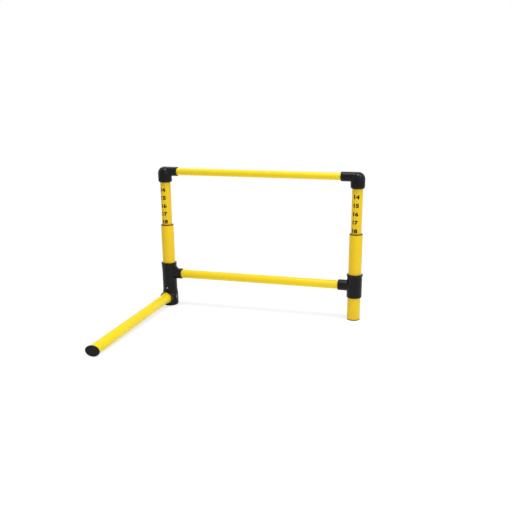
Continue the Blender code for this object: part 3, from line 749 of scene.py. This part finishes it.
post_low, post_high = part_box("left_outer_upright")
post_radius = (post_high.y - post_low.y) / 2
base_low, base_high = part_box("base_fitting")
lower_low, lower_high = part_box("lower_crossbar")
lower_radius = (lower_high.z - lower_low.z) / 2
sleeve_radius = post_radius + POST_WALL
branch_radius = lower_radius + BRANCH_WALL
rim_radius = sleeve_radius + RIM_LIP
bulge_radius = LEFT_POST.x - base_low.x
rim_height = base_high.z
screw_centre = middle("foot_screw")

outline = [(0.0, rim_height)]
outline += arc(rim_radius - MOUTH_ROUND, rim_height - MOUTH_ROUND, MOUTH_ROUND, 90, 0)
outline += [(sleeve_radius, rim_height - RIM_TAPER), (sleeve_radius, BULGE_TOP + BULGE_BLEND)]
outline += [(bulge_radius, BULGE_TOP)]
outline += arc(bulge_radius - BASE_EDGE, BASE_EDGE, BASE_EDGE, 0, -90)
outline += [(0.0, 0.0)]
base_sleeve = turned("base_sleeve", outline)
base_branch = arm("base_branch", branch_radius, LEFT_BRANCH_REACH)
seat(base_branch, (0.0, 0.0, LOWER_BAR.z), TURN_TO_RIGHT)
socket = arm("base_socket", bush_radius + FOOT_SOCKET_WALL, FOOT_SOCKET_REACH)
seat(socket, (0.0, 0.0, FOOT_ROOT.z), TURN_TO_FOOT)
pad = arm("base_pad", PAD_RADIUS, bulge_radius + PAD_RISE)
seat(pad, (0.0, screw_centre.y - LEFT_POST.y, screw_centre.z), TURN_TO_RIGHT)

deselect()
bpy.ops.mesh.primitive_cube_add(size=1.0)
gusset = bpy.context.object
bpy.ops.object.mode_set(mode="EDIT")
bpy.ops.transform.resize(value=(GUSSET_LEG * math.sqrt(2), GUSSET_WIDTH, GUSSET_LEG * math.sqrt(2)))
bpy.ops.object.mode_set(mode="OBJECT")
gusset_place = (sleeve_radius - GUSSET_SINK, 0.0, LOWER_BAR.z + branch_radius - GUSSET_SINK)
seat(gusset, gusset_place, Matrix.Rotation(math.pi / 4, 4, "Y"))

base = moulded("base_fitting_moulding", [base_sleeve, base_branch, socket, pad, gusset])
post_bore = bore("base_post_bore", post_radius + SEAT_GAP, post_low.z - POST_SEAT_DEPTH, rim_height)
bar_stop = lower_low.x - LEFT_POST.x - SEAT_GAP
bar_bore = bore("base_bar_bore", lower_radius + SEAT_GAP, bar_stop, LEFT_BRANCH_REACH)
seat(bar_bore, (0.0, 0.0, LOWER_BAR.z), TURN_TO_RIGHT)
foot_bore = bore("base_foot_bore", bush_radius + SEAT_GAP, bush_begin - SEAT_GAP, FOOT_SOCKET_REACH)
seat(foot_bore, (0.0, 0.0, FOOT_ROOT.z), TURN_TO_FOOT)
bored(base, [post_bore, bar_bore, foot_bore])
tube_bore = turned("base_tube_bore", [
    (0.0, bush_begin),
    (foot_radius + SEAT_GAP, bush_begin),
    (foot_radius + SEAT_GAP, foot_begin - SEAT_GAP),
    (0.0, foot_begin - SEAT_GAP),
])
bored(base, [seat(tube_bore, (0.0, 0.0, FOOT_ROOT.z), TURN_TO_FOOT)])
seat(base, (LEFT_POST.x, LEFT_POST.y, 0.0))
dress(base, "frame", "black_plastic", MOULDED_PLASTIC, "base_fitting")
print("base fitting faces:", len(base.data.polygons))

# %% [markdown]
# The tee on the right post is plainer: a short sleeve with a lip at its rim and a longer branch.
# %% Model the tee
TEE_LIP_HEIGHT = 0.0045
TEE_BOTTOM_ROUND = 0.0030

tee_low, tee_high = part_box("right_tee")
tee_reach = RIGHT_POST.x - tee_low.x
outline = [(0.0, tee_high.z)]
outline += arc(rim_radius - MOUTH_ROUND, tee_high.z - MOUTH_ROUND, MOUTH_ROUND, 90, 0)
lip_bottom = tee_high.z - TEE_LIP_HEIGHT
outline += [(rim_radius, lip_bottom), (sleeve_radius, lip_bottom - RIM_LIP)]
outline += arc(sleeve_radius - TEE_BOTTOM_ROUND, tee_low.z + TEE_BOTTOM_ROUND, TEE_BOTTOM_ROUND, 0, -90)
outline += [(0.0, tee_low.z)]
tee_sleeve = turned("tee_sleeve", outline)
tee_branch = seat(arm("tee_branch", branch_radius, tee_reach), (0.0, 0.0, LOWER_BAR.z), TURN_TO_LEFT)
tee = moulded("right_tee_moulding", [tee_sleeve, tee_branch])
through = turned("tee_post_bore", [
    (0.0, tee_high.z + OVERCUT),
    (post_radius + SEAT_GAP, tee_high.z + OVERCUT),
    (post_radius + SEAT_GAP, tee_low.z - OVERCUT),
    (0.0, tee_low.z - OVERCUT),
])
bar_stop = RIGHT_POST.x - lower_high.x - SEAT_GAP
bar_bore = bore("tee_bar_bore", lower_radius + SEAT_GAP, bar_stop, tee_reach)
seat(bar_bore, (0.0, 0.0, LOWER_BAR.z), TURN_TO_LEFT)
bored(tee, [through, bar_bore])
seat(tee, (RIGHT_POST.x, RIGHT_POST.y, 0.0))
dress(tee, "frame", "black_plastic", MOULDED_PLASTIC, "right_tee")
print("tee faces:", len(tee.data.polygons))

# %% [markdown]
# Small round mouldings need no remesh: the guide bushes in the tops of the posts and the plug under
# the right post are turned with their rounded edges in the outline.
# %% Model the guide bushes and the post plug
FLANGE_EDGE = 0.0005
FINE_EDGE_STEPS = 4            # steps of an edge that is rounded by less than a millimetre
PLUG_EDGE = 0.0009
STEM_WALL = 0.0022             # of a plug's hollow stem

for side, post in (("left", LEFT_POST), ("right", RIGHT_POST)):
    node = side + "_guide_bush"
    low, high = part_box(node)
    post_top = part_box(side + "_outer_upright")[1].z
    flange_radius = (high.x - low.x) / 2
    stem_radius = post_radius - OUTER_WALL - SEAT_GAP
    hole_radius = inner_radius + SEAT_GAP
    edge_height = high.z - FLANGE_EDGE
    outline = arc(hole_radius + FLANGE_EDGE, edge_height, FLANGE_EDGE, 180, 90, FINE_EDGE_STEPS)
    outline += arc(flange_radius - FLANGE_EDGE, edge_height, FLANGE_EDGE, 90, 0, FINE_EDGE_STEPS)
    outline += [(flange_radius, post_top + SEAT_GAP), (stem_radius, post_top + SEAT_GAP)]
    outline += [(stem_radius, low.z), (hole_radius, low.z)]
    bush = turned(node + "_ring", outline, closed=True)
    seat(bush, (post.x, post.y, 0.0))
    dress(bush, "frame", "black_plastic", MOULDED_PLASTIC, node)

plug_low, plug_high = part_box("right_post_plug")
plug_radius = (plug_high.x - plug_low.x) / 2
flange_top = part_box("right_outer_upright")[0].z - SEAT_GAP
stem_radius = post_radius - OUTER_WALL - SEAT_GAP
hollow_radius = stem_radius - STEM_WALL
outline = [(0.0, flange_top), (hollow_radius, flange_top), (hollow_radius, plug_high.z)]
outline += [(stem_radius, plug_high.z), (stem_radius, flange_top), (plug_radius, flange_top)]
outline += arc(plug_radius - PLUG_EDGE, plug_low.z + PLUG_EDGE, PLUG_EDGE, 0, -90)
outline += [(0.0, plug_low.z)]
plug = seat(turned("right_post_plug_moulding", outline), (RIGHT_POST.x, RIGHT_POST.y, 0.0))
dress(plug, "frame", "black_plastic", MOULDED_PLASTIC, "right_post_plug")
print("bushes and plug turned")

# %% [markdown]
# The cap that the foot rests on is an oval disc with a raised, rounded rim, on a hollow stem that is
# pressed into the tube's end. The disc is turned round and stretched sideways, and the stem, which has
# to stay round, is joined to it after that.
# %% Model the foot's end cap
CAP_THICKNESS = 0.0035
CAP_WIDTH_SHARE = 43.0 / 31.8  # width over height
CAP_RIM = 0.0034               # width of the raised rim
CAP_DISH = 0.0007              # how far the face lies below the rim
CAP_EDGE = 0.0010
CAP_STEM = 0.0180

cap_low, cap_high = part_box("foot_end_cap")
cap_half_height = (cap_high.x - cap_low.x) / 2 / CAP_WIDTH_SHARE
cap_back = foot_end + SEAT_GAP
cap_top = cap_back + CAP_THICKNESS
cap_face = cap_top - CAP_DISH
outline = [(0.0, cap_face), (cap_half_height - CAP_RIM - CAP_DISH, cap_face)]
outline += arc(cap_half_height - CAP_RIM, cap_face, CAP_DISH, 180, 90, FINE_EDGE_STEPS)
outline += arc(cap_half_height - CAP_EDGE, cap_top - CAP_EDGE, CAP_EDGE, 90, 0)
outline += [(cap_half_height, cap_back), (0.0, cap_back)]
cap = turned("foot_end_cap_moulding", outline)
cap.data.transform(Matrix.Diagonal((CAP_WIDTH_SHARE, 1.0, 1.0, 1.0)))
stem_radius = foot_radius - FOOT_WALL - SEAT_GAP
stem = tube("cap_stem", stem_radius, STEM_WALL, cap_back - CAP_STEM, cap_back + CAP_THICKNESS / 2)
union = cap.modifiers.new("stem", "BOOLEAN")
union.operation = "UNION"
union.solver = "EXACT"
union.object = stem
apply_modifiers(cap)
bpy.data.objects.remove(stem)
seat(cap, FOOT_ROOT, TURN_TO_FOOT)
dress(cap, "frame", "black_plastic", MOULDED_PLASTIC, "foot_end_cap")
print("cap faces:", len(cap.data.polygons))

# %% [markdown]
# Two pan-head screws with a cross recess hold the tubes in the base fitting. A pan head has a flat
# middle, a rounded shoulder and a low upright rim. The heads are turned, and the recess is cut by two
# crossed blocks that narrow downwards.
# %% Model the screws
SCREW_HEAD = 0.0020
SCREW_SIDES = 48
SCREW_FLAT = 0.4               # of the head's radius
SCREW_RIM = 0.3                # of the head's height
SHOULDER_STEPS = 8
SHANK_RADIUS = 0.0017
RECESS_DEPTH = 0.0011
RECESS_WIDTH = 0.0008
RECESS_SHARE = 0.62            # of the head's diameter
RECESS_TAPER = 0.6             # width at the bottom over width at the top
TURN_TO_FRONT = Matrix.Rotation(math.pi / 2, 4, "X")


def recess_block(length):
    deselect()
    bpy.ops.mesh.primitive_cube_add(size=1.0)
    block = bpy.context.object
    bpy.ops.object.mode_set(mode="EDIT")
    bpy.ops.transform.resize(value=(length, RECESS_WIDTH, RECESS_DEPTH * 2))
    pick("FACE", lambda face: face.normal.z < -0.9)
    bpy.ops.transform.resize(value=(RECESS_TAPER, RECESS_TAPER, 1.0))
    bpy.ops.object.mode_set(mode="OBJECT")
    return block


def screw(node, radius, length):
    """A screw that points up: the underside of its head is at height zero."""
    shoulder = (radius * (1 - SCREW_FLAT), SCREW_HEAD * (1 - SCREW_RIM))
    outline = [(0.0, SCREW_HEAD)]
    outline += arc(radius * SCREW_FLAT, SCREW_HEAD * SCREW_RIM, shoulder, 90, 0, SHOULDER_STEPS)
    outline += [(radius, 0.0), (SHANK_RADIUS, 0.0), (SHANK_RADIUS, SCREW_HEAD + SHANK_RADIUS - length)]
    outline += [(0.0, SCREW_HEAD - length)]
    piece = turned(node + "_turned", outline, sides=SCREW_SIDES)
    for turn in (0.0, math.pi / 2):
        block = recess_block(radius * 2 * RECESS_SHARE)
        bored(piece, [seat(block, (0.0, 0.0, SCREW_HEAD), Matrix.Rotation(turn, 4, "Z"))])
    return piece


low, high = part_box("post_screw")
post_screw = screw("post_screw", (high.x - low.x) / 2, high.y - low.y)
seat(post_screw, (LEFT_POST.x, low.y + SCREW_HEAD, (low.z + high.z) / 2), TURN_TO_FRONT)
dress(post_screw, "frame", "screw_steel", ZINC, "post_screw")
low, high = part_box("foot_screw")
foot_screw = screw("foot_screw", (high.z - low.z) / 2, high.x - low.x)
seat(foot_screw, (high.x - SCREW_HEAD, (low.y + high.y) / 2, (low.z + high.z) / 2), TURN_TO_RIGHT)
dress(foot_screw, "frame", "screw_steel", ZINC, "foot_screw")
print("screws turned")

# %% [markdown]
# The inner tubes carry a printed height scale: the plain numbers 14 to 18, an inch apart, with 18 the
# lowest. Each starts as a text, becomes a mesh, is scaled to its real size and cut into narrow upright
# strips, and is then wrapped round the front of the tube as a film of ink. Each column sits a little
# to the left of the tube's front and leans outwards by two degrees, as a print put on by hand does.
# %% Print the numbers of the height scale
SCALE_NUMBERS = ("18", "17", "16", "15", "14")
LOWEST_NUMBER = 0.2803         # height of the middle of the lowest number
NUMBER_PITCH = 0.0254
NUMBER_SIZE = (0.0172, 0.0125)
NUMBER_BOLDNESS = 0.052
NUMBER_FINENESS = 5            # steps of each curve in a digit
SCALE_TURN = math.radians(-4)  # where the middle of a column is, from the tube's front
SCALE_LEAN = math.radians(2.1)
STRIP = 0.001                  # width of the strips that bend round the tube
INK_LIFT = 0.00002
INK_FILM = 0.00006


def printed(label, height):
    """One number as a flat mesh in the XY plane, centred on its height."""
    deselect()
    bpy.ops.object.text_add()
    text = bpy.context.object
    text.data.body = label
    text.data.offset = NUMBER_BOLDNESS
    text.data.resolution_u = NUMBER_FINENESS
    bpy.ops.object.convert(target="MESH")
    flat = bpy.context.object
    corners = [v.co for v in flat.data.vertices]
    low = Vector(min(c[i] for c in corners) for i in range(3))
    high = Vector(max(c[i] for c in corners) for i in range(3))
    share = [NUMBER_SIZE[i] / (high[i] - low[i]) for i in range(2)]
    flat.data.transform(Matrix.Translation(-(low + high) / 2))
    flat.data.transform(Matrix.Translation((0, height, 0)) @ Matrix.Diagonal((*share, 1, 1)))
    return flat


def height_scale(name, post, lean):
    """The five numbers, leaning to the left by an angle, round the front of an inner tube."""
    heights = [LOWEST_NUMBER + NUMBER_PITCH * row for row in range(len(SCALE_NUMBERS))]
    piece = join([printed(label, height) for label, height in zip(SCALE_NUMBERS, heights)])
    piece.name = name
    piece.data.name = name
    centre = Matrix.Translation((0, sum(heights) / len(heights), 0))
    piece.data.transform(centre @ Matrix.Rotation(lean, 4, "Z") @ centre.inverted())
    reach = max(abs(vertex.co.x) for vertex in piece.data.vertices)
    bpy.ops.object.mode_set(mode="EDIT")
    for cut in range(1, math.ceil(2 * reach / STRIP)):
        bpy.ops.mesh.select_all(action="SELECT")
        bpy.ops.mesh.bisect(plane_co=(cut * STRIP - reach, 0, 0), plane_no=(1, 0, 0))
    bpy.ops.object.mode_set(mode="OBJECT")
    for vertex in piece.data.vertices:
        x, z, _ = vertex.co
        ink_radius = inner_radius + INK_LIFT
        vertex.co = (ink_radius * math.sin(x / ink_radius), -ink_radius * math.cos(x / ink_radius), z)
    film = piece.modifiers.new("ink", "SOLIDIFY")
    film.thickness = INK_FILM
    film.offset = 1.0
    apply_modifiers(piece)
    seat(piece, (post.x, post.y, 0.0), Matrix.Rotation(SCALE_TURN, 4, "Z"))
    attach(piece, "lift")
    piece.data.materials.append(INK)
    print(name, "faces:", len(piece.data.polygons))


height_scale("left_height_scale", LEFT_POST, SCALE_LEAN)
height_scale("right_height_scale", RIGHT_POST, -SCALE_LEAN)

# %% [markdown]
# The slide plugs and their grip rings work inside the closed posts, where nothing shows them. Their
# solids have the right shape, so they stay, and get the finishes mixed above.
# %% Finish the solids that stay


def refinish(node, material):
    for material_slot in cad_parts[node].material_slots:
        material_slot.material = material


for side in ("left", "right"):
    refinish(side + "_slide_plug", MOULDED_PLASTIC)
    refinish(side + "_grip_ring", RUBBER)
print("hidden solids finished")
